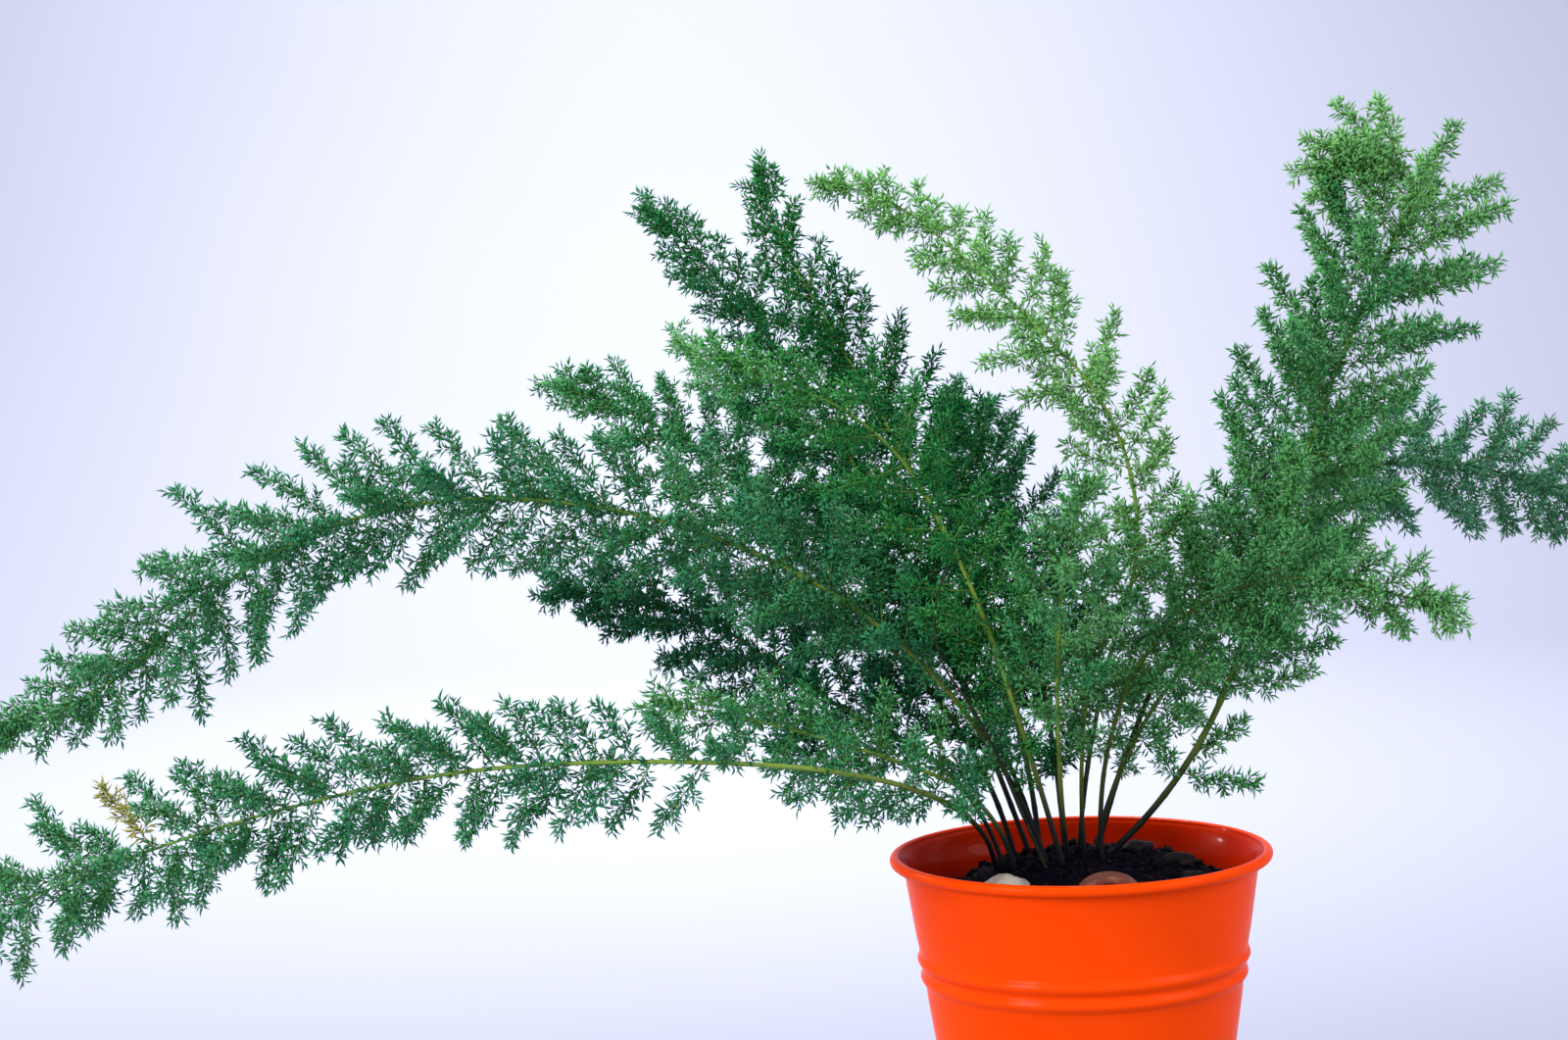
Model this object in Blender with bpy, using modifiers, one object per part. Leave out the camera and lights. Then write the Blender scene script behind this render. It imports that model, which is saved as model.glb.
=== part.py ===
# Foxtail fern in a round sheet-metal pot.
# Metres, +Z up. The origin is the centre of the pot's flat base.
# The photograph looks along +Y from a little above the rim, and +X is its right.

import math
import random

import bpy
import bmesh
import numpy as np
from mathutils import Matrix, Vector, noise
from mathutils.bvhtree import BVHTree

MM = 0.001
GAP = 0.3 * MM

# Pot
POT_HEIGHT = 145 * MM
RIM_RADIUS = 75 * MM
BEAD_RADIUS = 2.2 * MM
BEAD_ANGLES = (160, 105, 50, -5, -60, -115)
NECK = 5.1 * MM
WALL_TOP_RADIUS = 69.7 * MM
BASE_RADIUS = 48.5 * MM
WALL = 1.0 * MM
RIB_HEIGHTS = (103.4 * MM, 96.3 * MM)
RIB_PROUD = 1.2 * MM
RIB_HALF = 2.6 * MM
RIB_FLAT = 0.9 * MM
BASE_ROUND = 2.0 * MM
TURN_STEPS = 32

# Soil
SOIL_EDGE = 126.5 * MM
SOIL_CROWN = 142.5 * MM
SOIL_LEAN = 0.035
SOIL_BUMP = 0.9 * MM
SOIL_BUMP_WIDTH = 14 * MM
SOIL_BELOW_EDGE = 3 * MM
SOIL_FOOT = 6 * MM
SOIL_RINGS = 4

# Stems
STEM_START = 141.5 * MM
STEM_DEPTH = 16 * MM
STEM_TIP = 0.55 * MM
STEM_PITCH = 22 * MM
STEM_FINE = 8
HOLE_CLEAR = 0.6 * MM
HOLE_ABOVE = 14 * MM
DRY_STEM_FOOT = 0.9 * MM
DRY_STEM_TIP = 0.35 * MM

# Sprays of needles
SPRAY_PITCH = 20.2 * MM
SPRAY_LEAN = 52
SPRAY_ROOT = 0.75 * MM
SPRAY_END = 0.35 * MM
SPRAY_BARE = 3.5 * MM
SEGMENT = 7.6 * MM
NEEDLE = 9.0 * MM
NEEDLE_LEAN = 50
END_NEEDLE = 0.8
TWIST = 4200
GOLDEN = 137.5
TIP_TAPER = 0.22
TIP_SIZE = 0.35
FOOT_SIZE = 0.55
TIP_SUNK = 3 * MM
SEED = 7

# How a spray that would touch a neighbour is tried again
CLEAR = 0.4 * MM
TRIES = 7
TRY_TURN = 47
TRY_LEAN = 3
TRY_SHORTER = 0.08

# Where along a stem its headings and its rises are given
HEADING_AT = (0.0, 0.5, 1.0)
RISE_AT = (0.0, 0.3, 0.6, 0.85, 1.0)

# Each frond: foot x and y in mm, length in mm, headings in degrees from +X,
# rises above the horizontal in degrees, half the plume's width in mm, the bare
# share of the stem, and the stem's radius at its foot in mm
FRONDS = {
    "left_upper": ((-14, -6), 480, (189, 187, 195), (73, 33, 0, -43, -12), 29, 0.16, 1.2),
    "left_lower": ((-34, -1), 490, (262, 165, 164), (36, 10, -11, -20, -20), 25, 0.14, 1.1),
    "left_short": ((-27, -9), 175, (208, 206, 204), (75, 24, 20, 15, 17), 23, 0.20, 1.0),
    "left_shaded": ((-31, 15), 215, (171, 170, 171), (73, 27, 38, 8, 13), 28, 0.18, 1.0),
    "left_back": ((-25, 21), 290, (150, 150, 150), (75, 42, 46, 22, 19), 28, 0.18, 1.1),
    "up_left_outer": ((-19, 25), 315, (149, 149, 150), (69, 65, 56, 45, 41), 28, 0.20, 1.1),
    "up_left_inner": ((-15, 12), 295, (167, 167, 167), (87, 70, 62, 61, 79), 28, 0.20, 1.1),
    "front_left": ((-8, -13), 265, (212, 212, 210), (73, 71, 59, 21, 25), 26, 0.22, 1.1),
    "back_bowed": ((-4, 26), 220, (106, 107, 109), (81, 67, 53, 34, 27), 30, 0.22, 1.1),
    "arching": ((1, 16), 340, (170, 148, 150), (95, 110, 45, 38, 5), 23, 0.36, 1.0),
    "right_tall": ((11, 3), 325, (342, 343, 347), (41, 71, 69, 61, 233), 34, 0.24, 1.5),
    "right_low": ((8, -8), 220, (327, 328, 327), (95, 66, 19, -13, -20), 26, 0.28, 1.0),
    "right_back": ((9, 20), 370, (30, 27, 25), (71, 51, 1, -26, -33), 26, 0.28, 1.1),
    "centre_front": ((-5, -2), 185, (255, 271, 285), (60, 70, 59, 45, 44), 24, 0.25, 1.0),
    "centre_right": ((2, 2), 160, (317, 315, 313), (95, 83, 59, 45, 41), 22, 0.28, 0.9),
    "right_short": ((7, 10), 180, (28, 27, 27), (75, 52, 33, 17, 13), 24, 0.25, 1.0),
    "far_back": ((-14, 33), 305, (129, 129, 131), (69, 38, 45, 30, 28), 25, 0.26, 1.0),
}
DRY_STEM = ((-15, -15), 150, (222, 220, 212), (61, 64, 49, 111, 173))

# Things lying on the soil: place x and y, and half sizes, all in mm
STONE = ((-31, -32), (12.5, 8.5, 5.5))
STONE_SUNK = 0.15
BARK = (((24, 12), (8, 6, 3.4)), ((38, -8), (8, 6, 3.6)), ((40, -25), (7, 5, 3.2)))
BARK_SUNK = 0.1
LUMP_ROUGH = 0.22

# The terracotta chip: place, half width, rise, thickness, half depth, how deep it is sunk and tilt
CHIP_PLACE = (7, -43)
CHIP_HALF = 12.0
CHIP_RISE = 5.0
CHIP_THICK = 2.4
CHIP_DEPTH = 7.0
CHIP_SUNK = 2.4 * MM
CHIP_TILT = -12
CHIP_ANGLES = range(20, 161, 20)

# Colours
ENAMEL = (0.84, 0.085, 0.012, 1)
EARTH = (0.020, 0.014, 0.014, 1)
PALE_STONE = (0.50, 0.44, 0.38, 1)
TERRACOTTA = (0.50, 0.20, 0.15, 1)
BARK_BROWN = (0.045, 0.028, 0.024, 1)
DRY_BROWN = (0.07, 0.045, 0.025, 1)
DEEP_GREEN = (0.030, 0.120, 0.040, 1)
YOUNG_GREEN = (0.110, 0.240, 0.075, 1)


def clear_scene():
    for obj in list(bpy.data.objects):
        bpy.data.objects.remove(obj, do_unlink=True)


def new_collection(name):
    collection = bpy.data.collections.new(name)
    bpy.context.scene.collection.children.link(collection)
    return collection


def new_material(name, colour, roughness, metallic=0.0):
    material = bpy.data.materials.new(name)
    material.use_nodes = True
    shader = material.node_tree.nodes["Principled BSDF"]
    shader.inputs["Base Color"].default_value = colour
    shader.inputs["Roughness"].default_value = roughness
    shader.inputs["Metallic"].default_value = metallic
    return material


def object_from_bmesh(name, bm, collection, material=None):
    mesh = bpy.data.meshes.new(name)
    bm.to_mesh(mesh)
    bm.free()
    if material:
        mesh.materials.append(material)
    obj = bpy.data.objects.new(name, mesh)
    collection.objects.link(obj)
    return obj


def evaluated_mesh(obj):
    graph = bpy.context.evaluated_depsgraph_get()
    graph.update()
    return bpy.data.meshes.new_from_object(obj.evaluated_get(graph), depsgraph=graph)


def apply_modifiers(obj):
    mesh = evaluated_mesh(obj)
    obj.modifiers.clear()
    obj.data = mesh


def combine(obj, others, operation):
    """Joins or cuts obj by every object of a collection, then removes that collection."""
    boolean = obj.modifiers.new("combine", "BOOLEAN")
    boolean.operand_type = "COLLECTION"
    boolean.collection = others
    boolean.operation = operation
    boolean.solver = "EXACT"
    apply_modifiers(obj)
    for other in list(others.objects):
        bpy.data.objects.remove(other, do_unlink=True)
    bpy.data.collections.remove(others)


def turned(name, profile, steps, collection, material):
    """A solid of revolution from (radius, height) points that start and end on the axis."""
    bm = bmesh.new()
    verts = [bm.verts.new((radius, 0, height)) for radius, height in profile]
    for first, second in zip(verts, verts[1:]):
        bm.edges.new((first, second))
    obj = object_from_bmesh(name, bm, collection, material)
    screw = obj.modifiers.new("turn", "SCREW")
    screw.steps = steps
    screw.render_steps = steps
    screw.use_merge_vertices = True
    screw.merge_threshold = 0.01 * MM
    screw.use_smooth_shade = False
    return obj


def wall_radius(height):
    top = POT_HEIGHT - 2 * BEAD_RADIUS
    return BASE_RADIUS + (WALL_TOP_RADIUS - BASE_RADIUS) * height / top


def pot_profile():
    """From the floor's centre up the inside, over the rolled rim and down the outside."""
    inner_top = POT_HEIGHT - BEAD_RADIUS
    profile = [(0, WALL), (wall_radius(WALL) - WALL - BASE_ROUND, WALL)]
    profile.append((wall_radius(BASE_ROUND) - WALL, WALL + BASE_ROUND))
    profile.append((wall_radius(inner_top) - WALL, inner_top))
    centre = RIM_RADIUS - BEAD_RADIUS
    for degrees in BEAD_ANGLES:
        angle = math.radians(degrees)
        radius = centre + BEAD_RADIUS * math.cos(angle)
        profile.append((radius, inner_top + BEAD_RADIUS * math.sin(angle)))
    neck = POT_HEIGHT - NECK
    profile.append((wall_radius(neck), neck))
    for height in RIB_HEIGHTS:
        profile.append((wall_radius(height + RIB_HALF), height + RIB_HALF))
        profile.append((wall_radius(height) + RIB_PROUD, height + RIB_FLAT))
        profile.append((wall_radius(height) + RIB_PROUD, height - RIB_FLAT))
        profile.append((wall_radius(height - RIB_HALF), height - RIB_HALF))
    profile.append((wall_radius(BASE_ROUND), BASE_ROUND))
    profile.append((BASE_RADIUS - BASE_ROUND, 0))
    profile.append((0, 0))
    return profile


def make_pot(parts):
    enamel = new_material("orange_enamel", ENAMEL, 0.25)
    return turned("pot", pot_profile(), TURN_STEPS, parts, enamel)


def soil_height(x, y):
    """The height of the soil's mounded, uneven top."""
    share = min(math.hypot(x, y) / wall_radius(SOIL_EDGE), 1) ** 2
    mound = SOIL_EDGE + (SOIL_CROWN - SOIL_EDGE) * (0.5 + 0.5 * math.cos(math.pi * share))
    bump = SOIL_BUMP * noise.noise(Vector((x, y, 0)) / SOIL_BUMP_WIDTH)
    return mound + SOIL_LEAN * x + bump


def make_soil(parts):
    floor = WALL + GAP
    top_radius = wall_radius(SOIL_EDGE - SOIL_BELOW_EDGE) - WALL - GAP
    profile = [(top_radius * ring / SOIL_RINGS, SOIL_CROWN) for ring in range(SOIL_RINGS + 1)]
    profile.append((wall_radius(SOIL_FOOT) - WALL - GAP, SOIL_FOOT))
    profile.append((BASE_RADIUS - WALL - 2 * BASE_ROUND, floor))
    profile.append((0, floor))
    soil = turned("soil", profile, TURN_STEPS, parts, new_material("soil", EARTH, 0.95))
    apply_modifiers(soil)
    for vertex in soil.data.vertices:
        if vertex.co.z > SOIL_CROWN - GAP:
            vertex.co.z = soil_height(vertex.co.x, vertex.co.y)
    return soil


def heading_step(share, headings, rises):
    """The unit step that a stem takes at a share of its length."""
    heading = math.radians(np.interp(share, HEADING_AT, headings))
    rise = math.radians(np.interp(share, RISE_AT, rises))
    flat = math.cos(rise)
    return Vector((flat * math.cos(heading), flat * math.sin(heading), math.sin(rise)))


def stem_points(foot, length, headings, rises):
    """Points along a stem: straight on down in the soil, and bending above it."""
    count = max(6, round(length * MM / STEM_PITCH))
    steps = count * STEM_FINE
    place = Vector((foot[0] * MM, foot[1] * MM, STEM_START))
    points = [place - heading_step(0, headings, rises) * STEM_DEPTH, place.copy()]
    for index in range(steps):
        place = place + heading_step((index + 0.5) / steps, headings, rises) * length * MM / steps
        if index % STEM_FINE == STEM_FINE - 1:
            points.append(place.copy())
    return points


def tube(name, points, base, tip, collection, material):
    """A tapered stem with closed ends, four-sided."""
    curve = bpy.data.curves.new(name, "CURVE")
    curve.dimensions = "3D"
    curve.bevel_depth = base
    curve.bevel_resolution = 0
    curve.use_fill_caps = True
    spline = curve.splines.new("POLY")
    spline.points.add(len(points) - 1)
    for index, point in enumerate(points):
        share = max(index - 1, 0) / (len(points) - 2)
        spline.points[index].co = (*point, 1)
        spline.points[index].radius = 1 + (tip / base - 1) * share
    route = bpy.data.objects.new(name + "_route", curve)
    collection.objects.link(route)
    bm = bmesh.new()
    bm.from_mesh(evaluated_mesh(route))
    bmesh.ops.remove_doubles(bm, verts=bm.verts, dist=0.01 * MM)
    bpy.data.objects.remove(route, do_unlink=True)
    return object_from_bmesh(name, bm, collection, material)


def spray_bmesh(place, direction, length, turn, grow=0.0):
    """A slim three-sided twig whose faces beyond its bare foot are raised to needles."""
    segments = max(1, round((length - SPRAY_BARE) / SEGMENT))
    bm = bmesh.new()
    bmesh.ops.create_cone(bm, cap_ends=True, segments=3, depth=length,
                          radius1=SPRAY_ROOT + grow, radius2=SPRAY_END + grow)
    bmesh.ops.translate(bm, verts=bm.verts, vec=(0, 0, length / 2))
    for index in range(segments):
        height = SPRAY_BARE + (length - SPRAY_BARE) * index / segments
        geometry = bm.verts[:] + bm.edges[:] + bm.faces[:]
        bmesh.ops.bisect_plane(bm, geom=geometry, plane_co=(0, 0, height), plane_no=(0, 0, 1))
    bm.normal_update()
    reach = NEEDLE + grow
    lean = math.radians(NEEDLE_LEAN)
    for face in [face for face in bm.faces if face.calc_center_median().z > SPRAY_BARE]:
        at_end = face.normal.z > 0.9
        out = reach * (END_NEEDLE if at_end else math.sin(lean))
        poked = bmesh.ops.poke(bm, faces=[face], offset=out)
        if not at_end:
            poked["verts"][0].co.z += reach * math.cos(lean)
    for vertex in bm.verts:
        vertex.co = Matrix.Rotation(math.radians(turn + TWIST * vertex.co.z), 3, "Z") @ vertex.co
    aim = direction.to_track_quat("Z", "Y").to_matrix().to_4x4()
    bm.transform(Matrix.Translation(place) @ aim)
    return bm


def stem_frame(points, share):
    """The place and the direction at a share of a stem above the soil."""
    run = points[1:]
    position = share * (len(run) - 1)
    index = min(int(position), len(run) - 2)
    place = run[index].lerp(run[index + 1], position - index)
    return place, (run[index + 1] - run[index]).normalized()


def add_sprays(stem, points, length, half_width, bare, obstacles, rng):
    """Sets sprays round a stem and joins them to it. One that would cross a neighbour is turned or left off."""
    sprays = new_collection(stem.name + "_sprays")
    trees = []
    full = (half_width * MM - 0.6 * NEEDLE) / math.sin(math.radians(SPRAY_LEAN))
    count = round(length * MM * (1 - bare) / SPRAY_PITCH)
    turn = rng.uniform(0, 360)
    for index in range(count + 1):
        share = bare + (1 - bare) * index / count
        place, along = stem_frame(points, min(share, 1 - TIP_SUNK / (length * MM)))
        side = along.orthogonal().normalized()
        tip_taper = TIP_SIZE + (1 - TIP_SIZE) * (1 - share) / TIP_TAPER
        foot_taper = FOOT_SIZE + (share - bare) / TIP_TAPER
        size = full * min(1, tip_taper, foot_taper) * rng.uniform(0.88, 1.08)
        turn += GOLDEN
        for attempt in range(TRIES):
            lean = math.radians(0 if index == count else SPRAY_LEAN - TRY_LEAN * attempt)
            size_now = max(size * (1 - TRY_SHORTER * attempt), SPRAY_BARE + SEGMENT)
            around = Matrix.Rotation(math.radians(turn + TRY_TURN * attempt), 3, along) @ side
            aim = along * math.cos(lean) + around * math.sin(lean)
            spin = rng.uniform(0, 120)
            test = spray_bmesh(place, aim, size_now, spin, CLEAR)
            tree = BVHTree.FromBMesh(test)
            test.free()
            if not any(tree.overlap(other) for other in obstacles):
                spray = spray_bmesh(place, aim, size_now, spin)
                trees.append(BVHTree.FromBMesh(spray))
                object_from_bmesh("spray", spray, sprays)
                break
    combine(stem, sprays, "UNION")
    return trees


def tree_of(obj):
    bm = bmesh.new()
    bm.from_mesh(evaluated_mesh(obj))
    tree = BVHTree.FromBMesh(bm)
    bm.free()
    return tree


def make_fronds(parts, standing):
    """Every stem first, then its sprays, which keep clear of all that stands already."""
    rng = random.Random(SEED)
    deep = new_material("deep_green", DEEP_GREEN, 0.5)
    young = new_material("young_green", YOUNG_GREEN, 0.5)
    stems = {}
    for name, (foot, length, headings, rises, _, _, radius) in FRONDS.items():
        points = stem_points(foot, length, headings, rises)
        green = young if name == "arching" else deep
        stem = tube("frond_" + name, points, radius * MM, STEM_TIP, parts, green)
        stems[name] = (stem, points, tree_of(stem))
    obstacles = list(standing)
    for name, (stem, points, _) in stems.items():
        _, length, _, _, half_width, bare, _ = FRONDS[name]
        others = [tree for other, (_, _, tree) in stems.items() if other != name]
        obstacles += add_sprays(stem, points, length, half_width, bare, obstacles + others, rng)
    return [(points, FRONDS[name][-1] * MM) for name, (_, points, _) in stems.items()]


def lump(name, place, half_sizes, sink, collection, material, seed):
    """An uneven pebble or piece of bark, sunk a little into the soil."""
    x, y = place[0] * MM, place[1] * MM
    bm = bmesh.new()
    bmesh.ops.create_icosphere(bm, subdivisions=2, radius=1)
    for vertex in bm.verts:
        rough = 1 + LUMP_ROUGH * noise.noise(vertex.co * 1.3 + Vector((seed, 0, 0)))
        vertex.co = Vector([vertex.co[axis] * half_sizes[axis] * MM * rough for axis in range(3)])
    bmesh.ops.rotate(bm, verts=bm.verts, matrix=Matrix.Rotation(seed, 3, "Z"))
    height = soil_height(x, y) + half_sizes[2] * MM * sink
    bmesh.ops.translate(bm, verts=bm.verts, vec=(x, y, height))
    return object_from_bmesh(name, bm, collection, material)


def make_chip(parts, material):
    """A curved terracotta chip, arched over the soil like a piece of a broken pot."""
    curve = bpy.data.curves.new("terracotta_chip", "CURVE")
    curve.dimensions = "2D"
    curve.fill_mode = "BOTH"
    curve.extrude = CHIP_DEPTH * MM
    spline = curve.splines.new("POLY")
    angles = [math.radians(degrees) for degrees in CHIP_ANGLES]
    outline = [(CHIP_HALF * math.cos(angle), CHIP_RISE * math.sin(angle)) for angle in angles]
    inside = CHIP_HALF - CHIP_THICK
    for angle in reversed(angles):
        outline.append((inside * math.cos(angle), CHIP_RISE * math.sin(angle) - CHIP_THICK))
    spline.points.add(len(outline) - 1)
    for index, (across, up) in enumerate(outline):
        spline.points[index].co = (across * MM, up * MM, 0, 1)
    spline.use_cyclic_u = True
    route = bpy.data.objects.new("chip_outline", curve)
    parts.objects.link(route)
    bm = bmesh.new()
    bm.from_mesh(evaluated_mesh(route))
    bpy.data.objects.remove(route, do_unlink=True)
    bmesh.ops.remove_doubles(bm, verts=bm.verts, dist=0.01 * MM)
    stand = math.radians(90 + CHIP_TILT)
    bmesh.ops.rotate(bm, verts=bm.verts, matrix=Matrix.Rotation(stand, 3, "X"))
    x, y = CHIP_PLACE[0] * MM, CHIP_PLACE[1] * MM
    bmesh.ops.translate(bm, verts=bm.verts, vec=(x, y, soil_height(x, y) - CHIP_SUNK))
    return object_from_bmesh("terracotta_chip", bm, parts, material)


def grown_copy(obj, collection):
    """A copy set a little proud all round, which cuts the hollow that a piece lies in."""
    bm = bmesh.new()
    bm.from_mesh(evaluated_mesh(obj))
    bm.normal_update()
    for vertex in bm.verts:
        vertex.co += vertex.normal * GAP * 1.4
    return object_from_bmesh(obj.name + "_hollow", bm, collection)


def cut_soil(soil, holes, lying):
    """Cuts a plain round hole along each stem's foot, and the hollow of each piece that lies."""
    cutters = new_collection("cutters")
    for points, radius in holes:
        up = (points[1] - points[0]).normalized()
        depth = STEM_DEPTH + GAP + HOLE_ABOVE
        bm = bmesh.new()
        bmesh.ops.create_cone(bm, cap_ends=True, segments=6, depth=depth,
                              radius1=radius + HOLE_CLEAR, radius2=radius + HOLE_CLEAR)
        bmesh.ops.translate(bm, verts=bm.verts, vec=(0, 0, depth / 2))
        bm.transform(up.to_track_quat("Z", "Y").to_matrix().to_4x4())
        bmesh.ops.translate(bm, verts=bm.verts, vec=points[0] - up * GAP)
        object_from_bmesh("stem_hole", bm, cutters)
    for obj in lying:
        grown_copy(obj, cutters)
    combine(soil, cutters, "DIFFERENCE")


def main():
    clear_scene()
    parts = new_collection("foxtail_fern")
    pot = make_pot(parts)
    soil = make_soil(parts)
    stone = new_material("pale_stone", PALE_STONE, 0.6)
    bark = new_material("bark", BARK_BROWN, 0.9)
    lying = [lump("pale_stone", *STONE, STONE_SUNK, parts, stone, 1.0)]
    for number, (place, sizes) in enumerate(BARK, 1):
        lying.append(lump(f"bark_{number}", place, sizes, BARK_SUNK, parts, bark, number + 1.0))
    lying.append(make_chip(parts, new_material("terracotta", TERRACOTTA, 0.8)))
    points = stem_points(*DRY_STEM)
    dry = tube("dry_stem", points, DRY_STEM_FOOT, DRY_STEM_TIP, parts,
               new_material("dry_stem", DRY_BROWN, 0.8))
    standing = [tree_of(obj) for obj in (pot, soil, dry, *lying)]
    holes = make_fronds(parts, standing)
    cut_soil(soil, holes + [(points, DRY_STEM_FOOT)], lying)


main()
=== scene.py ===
"""Foxtail fern in an orange enamelled pot: the finished looks around its solid model."""

import math

import bmesh
import bpy
import numpy as np
from bpy.props import FloatProperty, FloatVectorProperty, IntProperty, PointerProperty
from mathutils import Matrix, Vector, noise


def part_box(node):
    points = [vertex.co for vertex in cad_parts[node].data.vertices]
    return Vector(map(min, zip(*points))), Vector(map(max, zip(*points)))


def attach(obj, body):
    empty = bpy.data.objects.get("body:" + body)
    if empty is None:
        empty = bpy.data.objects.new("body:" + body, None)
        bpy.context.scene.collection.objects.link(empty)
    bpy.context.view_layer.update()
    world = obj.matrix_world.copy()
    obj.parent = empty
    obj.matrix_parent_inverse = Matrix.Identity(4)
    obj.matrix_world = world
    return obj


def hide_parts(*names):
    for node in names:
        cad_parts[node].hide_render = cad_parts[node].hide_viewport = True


bl_info = {
    "name": "Foxtail fern",
    "version": (1, 0, 0),
    "blender": (4, 5, 0),
    "location": "View3D > Sidebar > Foxtail fern",
    "description": "Builds a potted foxtail fern with plumes of fine needles",
    "category": "Add Mesh",
}

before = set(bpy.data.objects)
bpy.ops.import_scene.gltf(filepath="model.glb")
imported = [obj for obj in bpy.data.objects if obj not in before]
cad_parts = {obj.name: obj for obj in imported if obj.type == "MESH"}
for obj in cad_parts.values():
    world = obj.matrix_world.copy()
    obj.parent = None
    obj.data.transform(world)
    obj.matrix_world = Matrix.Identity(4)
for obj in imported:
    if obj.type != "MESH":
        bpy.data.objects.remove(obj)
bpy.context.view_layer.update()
MM = 0.001
GOLDEN_ANGLE = math.radians(137.5)

# Sizes that the solid model has too
POT_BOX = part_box("pot")
POT_HEIGHT = POT_BOX[1][2]
WALL_TOP = POT_HEIGHT - 4.4 * MM
WALL_TOP_RADIUS = 69.7 * MM
RIM_RADIUS = 75 * MM
BASE_RADIUS = 48.5 * MM
BASE_ROUND = 2 * MM
RIB_HEIGHTS = (103.4 * MM, 96.3 * MM)
SOIL_EDGE = 126.5 * MM
SOIL_CROWN = 142.5 * MM
SOIL_LEAN = 0.035
SOIL_BUMP = 0.9 * MM
SOIL_BUMP_WIDTH = 14 * MM
STEM_START = 141.5 * MM
STEM_DEPTH = 16 * MM

# The soil's fine clods, its side's distance from the pot's outside, and its bottom
CLOD_HEIGHT = 1.5 * MM
CLOD_WIDTH = 5 * MM
SOIL_INSET = 1.4 * MM
SOIL_BOTTOM = 3 * MM

# Where along a stem its headings and its rises are given
HEADING_AT = (0.0, 0.5, 1.0)
RISE_AT = (0.0, 0.3, 0.6, 0.85, 1.0)

# Each frond: foot x and y in mm, length in mm, headings in degrees from +X, rises above the
# horizontal in degrees, half the plume's width in mm, the bare share of the stem, and the
# stem's radius at its foot in mm
FRONDS = {
    "left_upper": ((-14, -6), 480, (189, 187, 195), (73, 33, 0, -43, -12), 29, 0.16, 1.2),
    "left_lower": ((-34, -1), 490, (262, 165, 164), (36, 10, -11, -20, -20), 25, 0.14, 1.1),
    "left_short": ((-27, -9), 175, (208, 206, 204), (75, 24, 20, 15, 17), 23, 0.20, 1.0),
    "left_shaded": ((-31, 15), 215, (171, 170, 171), (73, 27, 38, 8, 13), 28, 0.18, 1.0),
    "left_back": ((-25, 21), 290, (150, 150, 150), (75, 42, 46, 22, 19), 28, 0.18, 1.1),
    "up_left_outer": ((-19, 25), 315, (149, 149, 150), (69, 65, 56, 45, 41), 28, 0.20, 1.1),
    "up_left_inner": ((-15, 12), 295, (167, 167, 167), (87, 70, 62, 61, 79), 28, 0.20, 1.1),
    "front_left": ((-8, -13), 265, (212, 212, 210), (73, 71, 59, 21, 25), 26, 0.22, 1.1),
    "back_bowed": ((-4, 26), 220, (106, 107, 109), (81, 67, 53, 34, 27), 30, 0.22, 1.1),
    "arching": ((1, 16), 340, (170, 148, 150), (95, 110, 45, 38, 5), 23, 0.36, 1.0),
    "right_tall": ((11, 3), 325, (342, 343, 347), (41, 71, 69, 61, 233), 34, 0.24, 1.5),
    "right_low": ((8, -8), 220, (327, 328, 327), (95, 66, 19, -13, -20), 26, 0.28, 1.0),
    "right_back": ((9, 20), 370, (30, 27, 25), (71, 51, 1, -26, -33), 26, 0.28, 1.1),
    "centre_front": ((-5, -2), 185, (255, 271, 285), (60, 70, 59, 45, 44), 24, 0.25, 1.0),
    "centre_right": ((2, 2), 160, (317, 315, 313), (95, 83, 59, 45, 41), 22, 0.28, 0.9),
    "right_short": ((7, 10), 180, (28, 27, 27), (75, 52, 33, 17, 13), 24, 0.25, 1.0),
    "far_back": ((-14, 33), 305, (129, 129, 131), (69, 38, 45, 30, 28), 25, 0.26, 1.0),
}
DRY_STEM = ((-15, -15), 150, (222, 220, 212), (61, 64, 49, 111, 173))

# How each frond looks: how light its green is and how blue, both from 0 to 1, the blue being
# painted bluish shade, how many needles deep its plume is, how thickly needles hide its stem, and
# how dark its bare stem is
LOOKS = {
    "left_upper": (0.43, 0.45, 2.10, 0.8, 0.00),
    "left_lower": (0.45, 0.45, 1.60, 0.1, 0.00),
    "left_short": (0.50, 0.25, 0.90, 0.3, 0.00),
    "left_shaded": (0.00, 0.30, 2.30, 1.0, 0.60),
    "left_back": (0.30, 0.25, 1.80, 0.8, 0.50),
    "up_left_outer": (0.06, 0.18, 1.65, 1.0, 0.60),
    "up_left_inner": (0.03, 0.04, 1.40, 0.4, 0.00),
    "front_left": (0.30, 0.05, 0.95, 0.2, 0.00),
    "back_bowed": (0.12, 0.22, 2.20, 1.0, 0.60),
    "arching": (0.96, 0.20, 1.30, 0.3, 0.00),
    "right_tall": (0.58, 0.27, 2.80, 1.0, 0.50),
    "right_low": (0.64, 0.32, 1.50, 0.5, 0.70),
    "right_back": (0.80, 0.75, 1.90, 0.8, 0.70),
    "centre_front": (0.58, 0.34, 0.85, 0.3, 0.20),
    "centre_right": (0.62, 0.34, 0.80, 0.3, 0.40),
    "right_short": (0.64, 0.32, 0.90, 0.5, 0.60),
    "far_back": (0.56, 0.40, 1.10, 0.2, 0.50),
}

# Where along a frond a spray has yellowed, how far on either side, and how yellow it is
YELLOWED = {"left_lower": 0.80}
YELLOWED_REACH = 0.012
YELLOW = 0.85

# The plumes turn their broad sides to the light: how strongly their sprays crowd to the edges
LIGHT_SIDE = (0.0, 1.0, 0.0)
FLATTEN = 0.3

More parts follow.
